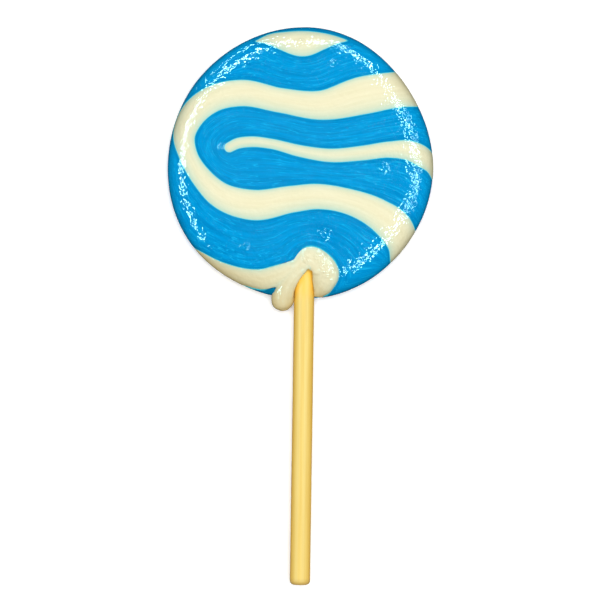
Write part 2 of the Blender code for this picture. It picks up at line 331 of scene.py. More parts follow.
# The lie of the sugar: lines of equal flow run along the strands and turn round the tail's tip. The
# swirl's line, closed well outside the head, tells which blue lies inside its turn.
FLOW_LINES = 9.0
LOOP_STEP = 1.0
LOOP_CLOSE = ((45.0, -30.0), (45.0, 25.0))
RIM_ROOM = 0.4
LEAST_ROOM = 0.02
loop = np.concatenate([smooth_line(SWIRL, LOOP_STEP)[:, :2], LOOP_CLOSE])
inside = np.zeros(len(places), dtype=bool)
for (ax, ay), (bx, by) in zip(loop, np.roll(loop, -1, axis=0)):
    over = (ay > places[:, 1]) != (by > places[:, 1])
    with np.errstate(divide="ignore", invalid="ignore"):
        inside ^= over & (places[:, 0] < (bx - ax) * (places[:, 1] - ay) / (by - ay) + ax)
angles = np.arctan2(points[:, 1], points[:, 0])
to_rim = rim_radius(angles) - np.hypot(points[:, 0], points[:, 1]) + RIM_ROOM
to_swirl = np.clip(swirl, 0, None) + LEAST_ROOM
to_others = np.minimum(np.minimum(np.clip(top, 0, None), to_rim), np.clip(fold, 0, None))
other_side = np.where(inside, np.clip(tail, 0, None), to_others) + LEAST_ROOM
flow = FLOW_LINES * other_side / (other_side + to_swirl)

# What is cut out of the sheet: swirl, tail, the patch at the top on the front and on the back, and
# the fold with its bed. The sheet's rows hold place, way out, these borders, and what follows them.
borders = (
    swirl,
    tail,
    np.maximum(top, FACE_LIMIT - front),
    np.maximum(top, FACE_LIMIT + front),
    np.minimum(band, bed),
)
rows = np.column_stack([points, outward, *borders, fold, flow, arch, band, rope])
first_edge = 6
fold_at, flow_at, arch_at, band_at, rope_at = range(first_edge + len(borders), rows.shape[1])
sheet = rows.copy()
faces = sheet_faces
for column in range(first_edge, first_edge + len(borders)):
    rows, faces = cut_sheet(rows, faces, column)

edges = rows[:, first_edge:first_edge + len(borders)]
kinds = []
for face in faces:
    depths = edges[list(face)].mean(axis=0)
    deepest = int(depths.argmin())
    kinds.append(deepest + 1 if depths[deepest] < 0 else 0)

# The skin sinks a little along every border, and waves slightly as hand-rolled sugar does.
BORDER_SINK = 0.02
SINK_WIDTH = 0.35
WAVE_HEIGHT = 0.045
WAVE_LENGTH = 6.5
SLAB_EASE = 0.5


def off_the_slab(level):
    """0 where the back lay flat on the slab, and 1 well clear of it."""
    return soft_step(level, -MID_HEIGHT, SLAB_EASE - MID_HEIGHT)


def skin_wave(spots):
    """How far the rolled skin lies over or under its mean at each spot."""
    waves = np.array([noise.noise(Vector(spot) / WAVE_LENGTH) for spot in spots.tolist()])
    return waves * WAVE_HEIGHT * off_the_slab(spots[:, 2])


def skin_sink(distance):
    return -BORDER_SINK * np.exp(-(distance / SINK_WIDTH) ** 2)


# Round the opening over the stick the bed's floor is level, from this far out and this high up.
OPENING_REACH = (0.95, 0.7)
OPENING_RISE = (0.0, 0.6)
spots, ways = rows[:, :3], rows[:, 3:6]
nearest = np.minimum(edges[:, :-1].min(axis=1), rows[:, fold_at])
lift = skin_wave(spots) + skin_sink(np.clip(nearest, 0, None))
in_arch = soft_step(rows[:, arch_at], *OPENING_REACH) * soft_step(spots[:, 2], *OPENING_RISE)
skin_level = spots + ways * lift[:, None]
floor = spots - ways * GROOVE_DEPTH
bed_floor = spots - ways * BED_DEPTH
bed_floor = bed_floor * (1 - in_arch[:, None]) + spots * (1, 1, 0) * in_arch[:, None]
levels = [skin_level, floor, floor, floor, floor, bed_floor]
blue_mesh, kept = stepped_mesh("blue_candy", faces, kinds, levels)

# No bright line shows under the fold or in the corner between its band and its lip, which lies in
# shade below this y: the blue there counts as lying further from the cream than it does, so it takes
# the painted shadow colour, and below this y the corner also takes the painted rim shade.
CORNER_REACH = (2.2, 0.6)
CORNER_BELOW = -23.5
UNDER_FOLD = (0.9, -0.4)
OPENING_FADE = 0.5
CORNER_FADE = 0.25
FOLD_FADE = 0.08
corner_reach = np.clip(rows[:, band_at], 0, None) + np.clip(rows[:, rope_at], 0, None)
corner_shade = soft_step(corner_reach, *CORNER_REACH)
from_cream = np.clip(nearest, 0, None) + OPENING_FADE * in_arch + CORNER_FADE * corner_shade
under_fold = soft_step(spots[:, 2], *UNDER_FOLD)
from_cream += (FOLD_FADE + under_fold) * (rows[:, rope_at] <= nearest)
# Painted shade: darker as the skin turns down towards the rim, and in the shaded corner.
rim_shade = 1 - np.abs(ways[:, 2]) + corner_shade * (spots[:, 1] < CORNER_BELOW)
paint(blue_mesh, "edge", from_cream[kept])
paint(blue_mesh, "flow", rows[kept, flow_at])
paint(blue_mesh, "rim", rim_shade[kept])
blue_candy = piece("blue_head", blue_mesh)


def group(name, inputs, outputs):
    """An empty shader node group with its sockets, and its ends."""
    tree = bpy.data.node_groups.new(name, "ShaderNodeTree")
    for label, kind in inputs:
        tree.interface.new_socket(label, in_out="INPUT", socket_type=kind)
    for label, kind in outputs:
        tree.interface.new_socket(label, in_out="OUTPUT", socket_type=kind)
    return tree, tree.nodes.new("NodeGroupInput"), tree.nodes.new("NodeGroupOutput")


def node(tree, kind, *feeds, **settings):
    """A node with its settings, whose inputs are linked or set in order; None leaves one alone."""
    made = tree.nodes.new(kind)
    for key, value in settings.items():
        setattr(made, key, value)
    for socket, feed in zip(made.inputs, feeds):
        if isinstance(feed, bpy.types.NodeSocket):
            tree.links.new(feed, socket)
        elif feed is not None:
            socket.default_value = feed
    return made


def maths(tree, operation, *feeds):
    return node(tree, "ShaderNodeMath", *feeds, operation=operation).outputs[0]


def mottle(tree, place, scale, detail, strength, closeness=2.0):
    """Soft random light and dark about each place, with the detail's strength and closeness."""
    return node(tree, "ShaderNodeTexNoise", place, None, scale, detail, strength, closeness).outputs[0]


def blend(tree, factor, start, end):
    """The colour that lies the factor's share of the way from start to end."""
    made = tree.nodes.new("ShaderNodeMix")
    made.data_type = "RGBA"
    for label, feed in (("Factor_Float", factor), ("A_Color", start), ("B_Color", end)):
        socket = next(s for s in made.inputs if s.identifier == label)
        if isinstance(feed, bpy.types.NodeSocket):
            tree.links.new(feed, socket)
        else:
            socket.default_value = feed
    return next(s for s in made.outputs if s.identifier == "Result_Color")


def spread(tree, value, low, high, to_low=0.0, to_high=1.0, smooth=False):
    """The value mapped from one range to another and held at its ends."""
    made = node(tree, "ShaderNodeMapRange", value, low, high, to_low, to_high)
    made.interpolation_type = "SMOOTHSTEP" if smooth else "LINEAR"
    return made.outputs[0]


# Fine lines that pulling the sugar leaves along its flow: their tone, rare bright threads, the low
# relief of the broad ones, and strokes where the skin is better polished than elsewhere.
STREAK_DRIFT = 0.11
STREAK_DEEP = 0.7
TONE_LINES = (1.0, 4.0, 0.62)
TONE_RANGE = (0.3, 0.7)
BROAD_LINES = (0.8, 0.0, 0.5)
THREAD_SHIFT = (3.1, 7.7, 1.3)
THREAD_LINES = (1.3, 1.0, 0.5)
THREAD_LEVEL = 0.56
THREAD_WIDTH = (0.004, 0.026)
STROKE_LINES = (2.4, 1.0, 0.5)
STROKE_BREAKS = (1.8, 1.0, 0.5)
STROKE_SHARE = 0.6
STROKE_RANGE = (0.48, 0.54)
streaks, into, out_of = group(
    "pulled streaks",
    (("Flow", "NodeSocketFloat"), ("Place", "NodeSocketVector"), ("Fineness", "NodeSocketFloat")),
    (
        ("Tone", "NodeSocketFloat"),
        ("Thread", "NodeSocketFloat"),
        ("Height", "NodeSocketFloat"),
        ("Polish", "NodeSocketFloat"),
    ),
)
x, y, z = node(streaks, "ShaderNodeSeparateXYZ", into.outputs["Place"]).outputs
across = maths(streaks, "MULTIPLY", into.outputs["Flow"], into.outputs["Fineness"])
slow_x = maths(streaks, "MULTIPLY_ADD", z, STREAK_DEEP, maths(streaks, "MULTIPLY", x, STREAK_DRIFT))
slow_y = maths(streaks, "MULTIPLY", y, STREAK_DRIFT)
along_flow = node(streaks, "ShaderNodeCombineXYZ", across, slow_x, slow_y).outputs[0]
tone = mottle(streaks, along_flow, *TONE_LINES)
streaks.links.new(spread(streaks, tone, *TONE_RANGE), out_of.inputs["Tone"])
streaks.links.new(mottle(streaks, along_flow, *BROAD_LINES), out_of.inputs["Height"])
apart = node(streaks, "ShaderNodeVectorMath", along_flow, THREAD_SHIFT, operation="ADD").outputs[0]
rare = mottle(streaks, apart, *THREAD_LINES)
ridge = maths(streaks, "ABSOLUTE", maths(streaks, "SUBTRACT", rare, THREAD_LEVEL))
streaks.links.new(spread(streaks, ridge, *THREAD_WIDTH, 1.0, 0.0), out_of.inputs["Thread"])
strokes = mottle(streaks, along_flow, *STROKE_LINES)
breaks = mottle(streaks, into.outputs["Place"], *STROKE_BREAKS)
breaks = maths(streaks, "MULTIPLY", breaks, 1 - STROKE_SHARE)
broken = maths(streaks, "MULTIPLY_ADD", strokes, STROKE_SHARE, breaks)
streaks.links.new(spread(streaks, broken, *STROKE_RANGE), out_of.inputs["Polish"])

# Small dents of the rolled skin, which break every highlight into glints, and the few wrinkled
# spots on the front: x, y and radius in millimetres.
WRINKLES = (
    (-16.9, 3.6, 1.1), (7.05, 21.5, 1.0), (18.0, -0.8, 1.9), (5.2, -15.0, 2.0), (-11.8, -17.6, 1.3),
    (1.4, -20.4, 1.3), (4.4, -20.3, 1.8), (5.8, -22.6, 2.4), (0.0, 25.8, 1.6),
)
WRINKLE_CORE = 0.4
WRINKLE_RISE = 2.2
WRINKLE_FOLDS = (1.7, 1.0, 0.5)
DENTS = (1.0, 1.0, 0.5)
glints, into, out_of = group(
    "rolled skin",
    (("Place", "NodeSocketVector"), ("Size", "NodeSocketFloat")),
    (("Height", "NodeSocketFloat"),),
)
scaled = node(glints, "ShaderNodeVectorMath", into.outputs["Place"], operation="SCALE")
glints.links.new(maths(glints, "DIVIDE", 1.0, into.outputs["Size"]), scaled.inputs["Scale"])
dents = mottle(glints, scaled.outputs[0], *DENTS)
flat_place = node(glints, "ShaderNodeVectorMath", into.outputs["Place"], (1, 1, 0), operation="MULTIPLY")
wrinkled = 0.0
for x, y, wide in WRINKLES:
    away = node(glints, "ShaderNodeVectorMath", flat_place.outputs[0], (x, y, 0), operation="DISTANCE")
    spot = spread(glints, away.outputs["Value"], WRINKLE_CORE * wide, wide, 1.0, 0.0, smooth=True)
    wrinkled = maths(glints, "ADD", wrinkled, spot)
crumple = maths(glints, "MULTIPLY", mottle(glints, into.outputs["Place"], *WRINKLE_FOLDS), wrinkled)
raised = maths(glints, "MULTIPLY", crumple, WRINKLE_RISE)
glints.links.new(maths(glints, "ADD", dents, raised), out_of.inputs["Height"])


def new_material(name):
    made = bpy.data.materials.new(name)
    made.use_nodes = True
    return made, made.node_tree, made.node_tree.nodes["Principled BSDF"]


def placed(tree, what, **feeds):
    """A node group set into a material with its own values."""
    made = tree.nodes.new("ShaderNodeGroup")
    made.node_tree = what
    for label, feed in feeds.items():
        if isinstance(feed, bpy.types.NodeSocket):
            tree.links.new(feed, made.inputs[label])
        else:
            made.inputs[label].default_value = feed
    return made.outputs


def scaled_place(tree, scale):
    """Each point's place on the lollipop, which is in metres, times the scale."""
    place = node(tree, "ShaderNodeTexCoord").outputs["Object"]
    return node(tree, "ShaderNodeVectorMath", place, scale, operation="MULTIPLY").outputs[0]


def painted(tree, *names):
    """The numbers that paint() keeps on the mesh."""
    return [node(tree, "ShaderNodeAttribute", attribute_name=name).outputs["Fac"] for name in names]


def bumped(tree, height, depth, over=None):
    """The surface raised by the height, whose depth is in metres, over the normal that comes in."""
    bump = node(tree, "ShaderNodeBump", 1.0, depth)
    tree.links.new(height, bump.inputs["Height"])
    if over is not None:
        tree.links.new(over, bump.inputs["Normal"])
    return bump.outputs[0]


# The polish and low relief that all the candy shares; the two depths are in metres.
PER_MM = (1000, 1000, 1000)
DENT_SIZE = 0.9
STREAK_DEPTH = 0.00002
DENT_DEPTH = 0.00013
SUGAR_IOR = 1.5


def candy_material(name, fineness, dull, polished):
    """Glossy sugar with its streaks and dents; its colour is made from what comes back with it."""
    made, tree, shader = new_material(name)
    place = scaled_place(tree, PER_MM)
    # The "rim" numbers hold the painted shade towards the rim.
    flow_line, from_edge, rim_shade = painted(tree, "flow", "edge", "rim")
    lines = placed(tree, streaks, Flow=flow_line, Place=place, Fineness=fineness)
    skin = placed(tree, glints, Place=place, Size=DENT_SIZE)
    tree.links.new(spread(tree, lines["Polish"], 0.0, 1.0, dull, polished), shader.inputs["Roughness"])
    shader.inputs["IOR"].default_value = SUGAR_IOR
    streaked = bumped(tree, lines["Height"], STREAK_DEPTH)
    tree.links.new(bumped(tree, skin["Height"], DENT_DEPTH, streaked), shader.inputs["Normal"])
    return made, tree, shader, lines, from_edge, rim_shade


# Clear blue sugar, deepest away from the cream, with a bright line where thin blue lies over cream;
# a painted shadow darkens it just beside the cream and painted shade darkens it towards the rim.
BLUE_DEEP = (0.0002, 0.240, 0.570, 1)
BLUE_LIGHT = (0.0006, 0.355, 0.765, 1)
BLUE_THREAD = (0.012, 0.53, 0.90, 1)
BLUE_SHADOW = (0.0003, 0.205, 0.47, 1)
BLUE_RIM_SHADE = (0.0005, 0.17, 0.32, 1)
BLUE_FRINGE = (0.06, 0.66, 0.76, 1)
BLUE_FINENESS = 1.7
BLUE_DULL = 0.09
BLUE_POLISHED = 0.04
THREAD_SHARE = 0.7
SHADOW_REACH = (0.20, 1.10)
SHADOW_SHARE = 0.6
BLUE_RIM_SHADE_REACH = (0.12, 0.85)
RIM_SHADE_SHARE = 0.8
FRINGE_REACH = (0.02, 0.24)
blue_finish, tree, shader, lines, from_edge, rim_shade = candy_material(
    "blue pulled sugar", BLUE_FINENESS, BLUE_DULL, BLUE_POLISHED
)
thread = spread(tree, lines["Thread"], 0.0, 1.0, 0.0, THREAD_SHARE)
shadow = spread(tree, from_edge, *SHADOW_REACH, SHADOW_SHARE, 0.0, smooth=True)
# Painted shade, deepening the blue where its skin turns down towards the rim.
rim = spread(tree, rim_shade, *BLUE_RIM_SHADE_REACH, 0.0, RIM_SHADE_SHARE, smooth=True)
fringe = spread(tree, from_edge, *FRINGE_REACH, 1.0, 0.0, smooth=True)
colour = blend(tree, lines["Tone"], BLUE_DEEP, BLUE_LIGHT)
colour = blend(tree, thread, colour, BLUE_THREAD)
colour = blend(tree, shadow, colour, BLUE_SHADOW)
colour = blend(tree, rim, colour, BLUE_RIM_SHADE)
colour = blend(tree, fringe, colour, BLUE_FRINGE)
tree.links.new(colour, shader.inputs["Base Color"])
blue_mesh.materials.append(blue_finish)
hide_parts("blue_candy")
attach(blue_candy, "root")

# The cream strands: opaque white sugar laid into the blue and fused with it. Each stands a hair
# proud in its middle, wraps over the rim where its line runs out of the front, and comes back
# on the other face.
CROWN = 0.03
STRAND_DEPTH = 0.9
LEAST_HALF = 0.4
CREAM_LIGHT = (0.92, 0.875, 0.605, 1)
CREAM_SHADE = (0.85, 0.80, 0.52, 1)
CREAM_EDGE = (0.46, 0.71, 0.60, 1)
# The painted shade down the strands' sides towards the rim: its colour here, and further down where it
# starts and where it is full.
CREAM_RIM_SHADE = (0.50, 0.46, 0.26, 1)
CREAM_FINENESS = 1.5
CREAM_DULL = 0.10
CREAM_POLISHED = 0.05
CREAM_RIM_SHADE_START = 0.02
CREAM_RIM_SHADE_END = 0.55
TINT_UPPER = 0.55
TINT_LOWER = 1.1
TINT_TURN = 0.8

# The cream's colour: streaked, tinted towards the blue along its border, and darker down its sides with
# painted shade.
cream_colour_and_shade, into, out_of = group(
    "cream colour and side shade",
    (
        ("Tone", "NodeSocketFloat"),
        ("Edge", "NodeSocketFloat"),
        ("Rim", "NodeSocketFloat"),
        ("Light", "NodeSocketColor"),
        ("Shade", "NodeSocketColor"),
        ("Side", "NodeSocketColor"),
        ("Reach", "NodeSocketFloat"),
    ),
    (("Colour", "NodeSocketColor"),),
)
inward = maths(cream_colour_and_shade, "MULTIPLY", into.outputs["Edge"], -1.0)
near_blue = maths(cream_colour_and_shade, "EXPONENT", inward)
rim_shade_reach = (CREAM_RIM_SHADE_START, into.outputs["Reach"])
shade_down_side = spread(cream_colour_and_shade, into.outputs["Rim"], *rim_shade_reach, 0.0, RIM_SHADE_SHARE)
colour = blend(cream_colour_and_shade, into.outputs["Tone"], into.outputs["Shade"], into.outputs["Light"])
colour = blend(cream_colour_and_shade, near_blue, colour, CREAM_EDGE)
colour = blend(cream_colour_and_shade, shade_down_side, colour, into.outputs["Side"])
cream_colour_and_shade.links.new(colour, out_of.inputs["Colour"])


def cream_material(name, light, shade, side, reach, dull, polished):
    """Cream sugar in its own colours; the side colour, painted shade down its sides, is full at this reach
    down the rim.
    """
    made, tree, shader, lines, from_edge, rim_shade = candy_material(name, CREAM_FINENESS, dull, polished)
    cream = placed(
        tree, cream_colour_and_shade, Tone=lines["Tone"], Edge=from_edge, Rim=rim_shade,
        Light=light, Shade=shade, Side=side, Reach=reach,
    )
    tree.links.new(cream["Colour"], shader.inputs["Base Color"])
    return made


cream_finish = cream_material(
    "cream pulled sugar", CREAM_LIGHT, CREAM_SHADE, CREAM_RIM_SHADE, CREAM_RIM_SHADE_END, CREAM_DULL, CREAM_POLISHED
)


def closed_patch(name, rows, faces, lift, depth):
    """The faces lifted off the skin, closed below at an even depth; also which row each point is."""
    used = sorted({i for face in faces for i in face})
    index = {row: k for k, row in enumerate(used)}
    count = len(used)
    spots, ways = rows[used, :3], rows[used, 3:6]
    over = spots + ways * lift[used][:, None]
    under = spots - ways * depth
    made, border = [], {}
    for face in faces:
        ring = [index[i] for i in face]
        made.append(ring)
        made.append([count + i for i in reversed(ring)])
        for a, b in zip(ring, ring[1:] + ring[:1]):
            border[a, b] = True
    made += [(b, a, count + a, count + b) for a, b in border if (b, a) not in border]
    return mesh_of(name, np.concatenate([over, under]), made), np.array(used + used)


def strand_lift(rows, own, depth_in, stations):
    """How high a strand's skin lies, with its waves, sunk border and crown, and its ways across."""
    touched = sorted({i for face in own for i in face})
    along = np.zeros((len(rows), 3))
    along[touched] = beyond_edge(stations, pattern_places(rows[touched, :3]))
    half = np.clip(np.abs(along[touched, 1]) + depth_in[touched], LEAST_HALF, None)
    rise = np.clip(depth_in[touched] / half, 0, 1)
    crown = CROWN * off_the_slab(rows[touched, 2]) * np.sqrt(1 - (1 - rise) ** 2)
    lift = np.zeros(len(rows))
    lift[touched] = skin_wave(rows[touched, :3]) + skin_sink(depth_in[touched]) + crown
    return lift, along


def tint_depth(depth_in, along):
    """Depth from the border in steps of the tint's fading, which is slower on a strand's lower side."""
    lower = 0.5 - 0.5 * along[:, 2] * np.tanh(along[:, 1] / TINT_TURN)
    return depth_in / (TINT_UPPER + (TINT_LOWER - TINT_UPPER) * lower)


# Each strand's piece, its solid, its line, and how much painted shade darkens its sides towards the rim.
STRANDS = (
    ("swirl_strand", "cream_swirl", SWIRL, 1.0),
    ("tail_strand", "cream_tail", TAIL, 1.0),
    ("top_patch", "cream_top", TOP, 0.4),
    ("top_patch_back", "cream_top_back", TOP, 0.4),
)
for number, (name, node_name, stations, side_shade) in enumerate(STRANDS, start=1):
    own = [face for face, kind in zip(faces, kinds) if kind == number]
    depth_in = np.clip(-edges[:, number - 1], 0, None)
    lift, along = strand_lift(rows, own, depth_in, stations)
    mesh, kept = closed_patch(node_name, rows, own, lift, STRAND_DEPTH)
    paint(mesh, "edge", tint_depth(depth_in, along)[kept])
    paint(mesh, "flow", along[kept, 1])
    # The painted shade its sides take towards the rim.
    paint(mesh, "rim", side_shade * (1 - np.abs(rows[kept, 5])))
    made = piece(name, mesh)
    mesh.materials.append(cream_finish)
    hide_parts(node_name)
    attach(made, "root")

# The fold: the end of the coil. A cream band comes along the rim, bends round the stick like a
# horseshoe and hangs over the rim beside it as a rounded lip. It was pressed on while soft, so
# band and bend run into one another and its mouth is rounded over the stick.
ROPE_SIDES = 56
ROPE_STEP = 0.25
FOLD_VOXEL = 0.16
ARCH_STEP = 0.3
ARCH_TIP = 0.02
TOOL_END = -40.0
TOOL_LEVELS = (-0.4, 8.0)
MOUTH_REACH = (1.0, 0.3)
MOUTH_ABOVE = 0.3
MOUTH_SHARE = 0.8
CREASE_REACH = (1.8, 0.5)
CREASE_ABOVE = 2.0
SOFT_LEAST = 0.10
SOFT_STRENGTH = 0.5
SOFT_ROUNDS = 26


def tube_faces(rings, sides):
    """The faces between rings of points, from the first ring to the last."""
    made = []
    for low in range(0, (rings - 1) * sides, sides):
        for i in range(sides):
            j = (i + 1) % sides
            made.append((low + i, low + j, low + sides + j, low + sides + i))
    return made


def turned_out(mesh, *others, weld=None):
    """The mesh with the others joined to it and its faces turned outward."""
    work = bmesh.new()
    for part in (mesh, *others):
        work.from_mesh(part)
    if weld is not None:
        bmesh.ops.remove_doubles(work, verts=work.verts, dist=weld)
    bmesh.ops.recalc_face_normals(work, faces=work.faces)
    work.to_mesh(mesh)
    work.free()
    return mesh


def settled(owner):
    """The mesh that the object's modifiers give, with the modifiers gone."""
    view = bpy.context.evaluated_depsgraph_get()
    result = bpy.data.meshes.new_from_object(owner.evaluated_get(view))
    owner.modifiers.clear()
    owner.data = result
    return result


def fuse(owner):
    """Wraps the object in one even skin."""
    remesh = owner.modifiers.new("fuse", "REMESH")
    remesh.mode = "VOXEL"
    remesh.voxel_size = FOLD_VOXEL * MM


def spots_of(mesh):
    """Where the mesh's points are, in millimetres."""
    spots = np.empty(len(mesh.vertices) * 3)
    mesh.vertices.foreach_get("co", spots)
    return spots.reshape(-1, 3) / MM


band_rows, band_faces = cut_sheet(sheet, sheet_faces, band_at)
own = [face for face in band_faces if band_rows[list(face), band_at].mean() < 0]
depth_in = np.clip(-band_rows[:, band_at], 0, None)
lift, _ = strand_lift(band_rows, own, depth_in, BAND)
band_mesh, _ = closed_patch("cream_fold", band_rows, own, lift, STRAND_DEPTH)

line = smooth_line(FOLD, ROPE_STEP)
ahead = np.gradient(line[:, :2], axis=0)
ahead /= np.hypot(*ahead.T)[:, None]
turn = np.arange(ROPE_SIDES) * 2 * math.pi / ROPE_SIDES
wide = line[:, 2, None] * np.cos(turn)
tall = np.where(np.sin(turn) > 0, line[:, 4, None], line[:, 5, None]) * np.sin(turn)
ring_x = line[:, 0, None] - ahead[:, 1, None] * wide
ring_y = line[:, 1, None] + ahead[:, 0, None] * wide
ring_z = line[:, 3, None] + tall
rings = np.stack([ring_x, ring_y, ring_z], axis=2)
last = (len(line) - 1) * ROPE_SIDES
rope_faces = [tuple(reversed(range(ROPE_SIDES))), tuple(range(last, last + ROPE_SIDES))]
rope_faces += tube_faces(len(line), ROPE_SIDES)
rope_mesh = mesh_of("rope", rings.reshape(-1, 3), rope_faces)
fold_piece = put_in_scene("fold as pressed on", turned_out(band_mesh, rope_mesh))

# A block of the opening's outline, which is taken out of the fold over the stick.
arch_rows = smooth_line([(x, y, half) for y, x, half in ARCH[1:]], ARCH_STEP)
arch_rows = arch_rows[arch_rows[:, 2] > ARCH_TIP]
left = [(x - half, y) for x, y, half in arch_rows]
right = [(x + half, y) for x, y, half in arch_rows[::-1]]
outline = [(left[0][0], TOOL_END), *left, *right, (right[-1][0], TOOL_END)]
count = len(outline)
tool_points = [(x, y, level) for level in TOOL_LEVELS for x, y in outline]
tool_faces = [tuple(range(count)), tuple(range(count, 2 * count))] + tube_faces(2, count)
tool = put_in_scene("arch", turned_out(mesh_of("arch", tool_points, tool_faces)))
fuse(fold_piece)
settled(fold_piece)
cut = fold_piece.modifiers.new("open", "BOOLEAN")
cut.operation = "DIFFERENCE"
cut.object = tool
cut.solver = "EXACT"
fuse(fold_piece)
fold_mesh = settled(fold_piece)
bpy.data.objects.remove(tool)

# The mouth's edge and the crease between band and bend are smoothed more than the rest.
spots = spots_of(fold_mesh)
mouth = soft_step(np.abs(arch_edge(spots[:, :2])), *MOUTH_REACH) * (spots[:, 2] > MOUTH_ABOVE)
crease = np.abs(beyond_edge(BAND, spots[:, :2])[:, 0] - beyond_edge(FOLD, spots[:, :2])[:, 0])
crease = soft_step(crease, *CREASE_REACH) * (spots[:, 2] > CREASE_ABOVE)
softness = SOFT_LEAST + (1 - SOFT_LEAST) * np.maximum(MOUTH_SHARE * mouth, crease)
soft_spots = fold_piece.vertex_groups.new(name="softness")
for i, weight in enumerate(softness.tolist()):
    soft_spots.add([i], weight, "REPLACE")
soften = fold_piece.modifiers.new("soften", "SMOOTH")
soften.factor = SOFT_STRENGTH
soften.iterations = SOFT_ROUNDS
soften.vertex_group = "softness"
fold_mesh = settled(fold_piece)
fold_piece.vertex_groups.clear()
bpy.data.objects.remove(fold_piece)

# The fold's cream is a little darker and duller than the strands', and has the least of the blue's
# tint on the bend's inner side and where its two ends hang over the rim.
FOLD_LIGHT = (0.87, 0.83, 0.57, 1)
FOLD_SHADE = (0.80, 0.745, 0.475, 1)
# Painted shade on the fold's lower parts: its colour, where it is full, and how it grows downwards.
FOLD_RIM_SHADE = (0.60, 0.46, 0.18, 1)
FOLD_RIM_SHADE_END = 0.5
FOLD_DULL = 0.2
FOLD_POLISHED = 0.11
FOLD_SHADE_POWER = 0.5
INNER_CLEAR = 3
END_CLEAR = 4
END_REACH = (-27.5, -29.5)
spots = spots_of(fold_mesh)
in_band, in_rope = beyond_edge(BAND, spots[:, :2]), beyond_edge(FOLD, spots[:, :2])
deeper = in_rope[:, 0] < in_band[:, 0]
nearest_line = np.where(deeper[:, None], in_rope, in_band)
inner_side = np.clip(-np.where(deeper, nearest_line[:, 1], 0.0), 0, None)
at_ends = soft_step(spots[:, 1], *END_REACH)
from_blue = -nearest_line[:, 0] + INNER_CLEAR * inner_side + END_CLEAR * at_ends
paint(fold_mesh, "edge", np.clip(from_blue, 0, None) / TINT_UPPER)
paint(fold_mesh, "flow", nearest_line[:, 1])
# Painted shade, the more the lower the fold's surface lies.
paint(fold_mesh, "rim", 1 - np.clip(spots[:, 2] / HALF_THICK, 0, 1) ** FOLD_SHADE_POWER)
fold_piece = piece("folded_end", fold_mesh)
fold_finish = cream_material(
    "cream fold", FOLD_LIGHT, FOLD_SHADE, FOLD_RIM_SHADE, FOLD_RIM_SHADE_END, FOLD_DULL, FOLD_POLISHED
)
fold_mesh.materials.clear()
fold_mesh.materials.append(fold_finish)
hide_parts("cream_fold")
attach(fold_piece, "root")

# The stick: a smooth round dowel, rounded at its free end and pushed 40 mm into the head while
# that was warm. It is drawn whole, so the part inside the candy is there as well.
STICK_RADIUS = 2.18
STICK_LENGTH = 101.6
STICK_FREE_END = np.array((-0.05, -90.9))
STICK_LEAN = math.radians(0.85)
STICK_ROUND = 0.9
ROUND_STEPS = 8
STICK_SIDES = 72
STICK_RINGS = 160
# The free end is hollowed a little: how far from the end each ring lies, and its radius.
END_HOLLOW = ((0.25, 0.0), (0.22, 0.5), (0.1, 0.9))
INNER_BEVEL = 0.26
INNER_FLAT = 1.2
UNEVEN = 0.006
UNEVEN_ROUND = 1.5
UNEVEN_ALONG = 0.12
WELD_GAP = 0.00001
profile = list(END_HOLLOW)
for step in range(ROUND_STEPS, -1, -1):
    bend = math.pi / 2 * step / ROUND_STEPS
    profile.append((STICK_ROUND * (1 - math.sin(bend)), STICK_RADIUS - STICK_ROUND * (1 - math.cos(bend))))
for step in range(1, STICK_RINGS):
    profile.append((STICK_ROUND + (STICK_LENGTH - 2 * STICK_ROUND) * step / STICK_RINGS, STICK_RADIUS))
profile += [
    (STICK_LENGTH - STICK_ROUND, STICK_RADIUS),
    (STICK_LENGTH - INNER_BEVEL, STICK_RADIUS - INNER_BEVEL),
    (STICK_LENGTH, INNER_FLAT),
    (STICK_LENGTH, 0.0),
]
turn = np.arange(STICK_SIDES) * 2 * math.pi / STICK_SIDES
stick_points = []
lean_x, lean_y = math.sin(STICK_LEAN), math.cos(STICK_LEAN)
for along_stick, radius in profile:
    middle = STICK_FREE_END + along_stick * np.array((lean_x, lean_y))
    for angle in turn:
        side, up = math.cos(angle), math.sin(angle)
        swell = noise.noise((side * UNEVEN_ROUND, up * UNEVEN_ROUND, along_stick * UNEVEN_ALONG))
        uneven = radius * (1 + UNEVEN * swell)
        across = uneven * side
        stick_points.append((middle[0] + across * lean_y, middle[1] - across * lean_x, uneven * up))
stick_mesh = mesh_of("stick", stick_points, tube_faces(len(profile), STICK_SIDES))
turned_out(stick_mesh, weld=WELD_GAP * MM)

# Painted on it: painted shade that deepens the colour of its sides, painted shade at its end, and
# painted shade with warm bounced light at its foot at the candy.
SIDE_SHADE_SHARE = 0.75
SIDE_SHADE_REACH = (0.92 * STICK_RADIUS, 0.2 * STICK_RADIUS)
TIP_SHADE_SHARE = 0.8
TIP_SHADE_REACH = (1.6, 0.2)
FOOT_SHADE_REACH = (61.0, 64.0)
spots = spots_of(stick_mesh)
from_end = spots[:, 1] - STICK_FREE_END[1]
paint(stick_mesh, "side", SIDE_SHADE_SHARE * soft_step(spots[:, 2], *SIDE_SHADE_REACH))
paint(stick_mesh, "end", TIP_SHADE_SHARE * soft_step(from_end, *TIP_SHADE_REACH))
paint(stick_mesh, "root", soft_step(from_end, *FOOT_SHADE_REACH))
stick = piece("round_stick", stick_mesh)

STRAW_LIGHT = (0.91, 0.65, 0.15, 1)
STRAW_DARK = (0.85, 0.575, 0.11, 1)
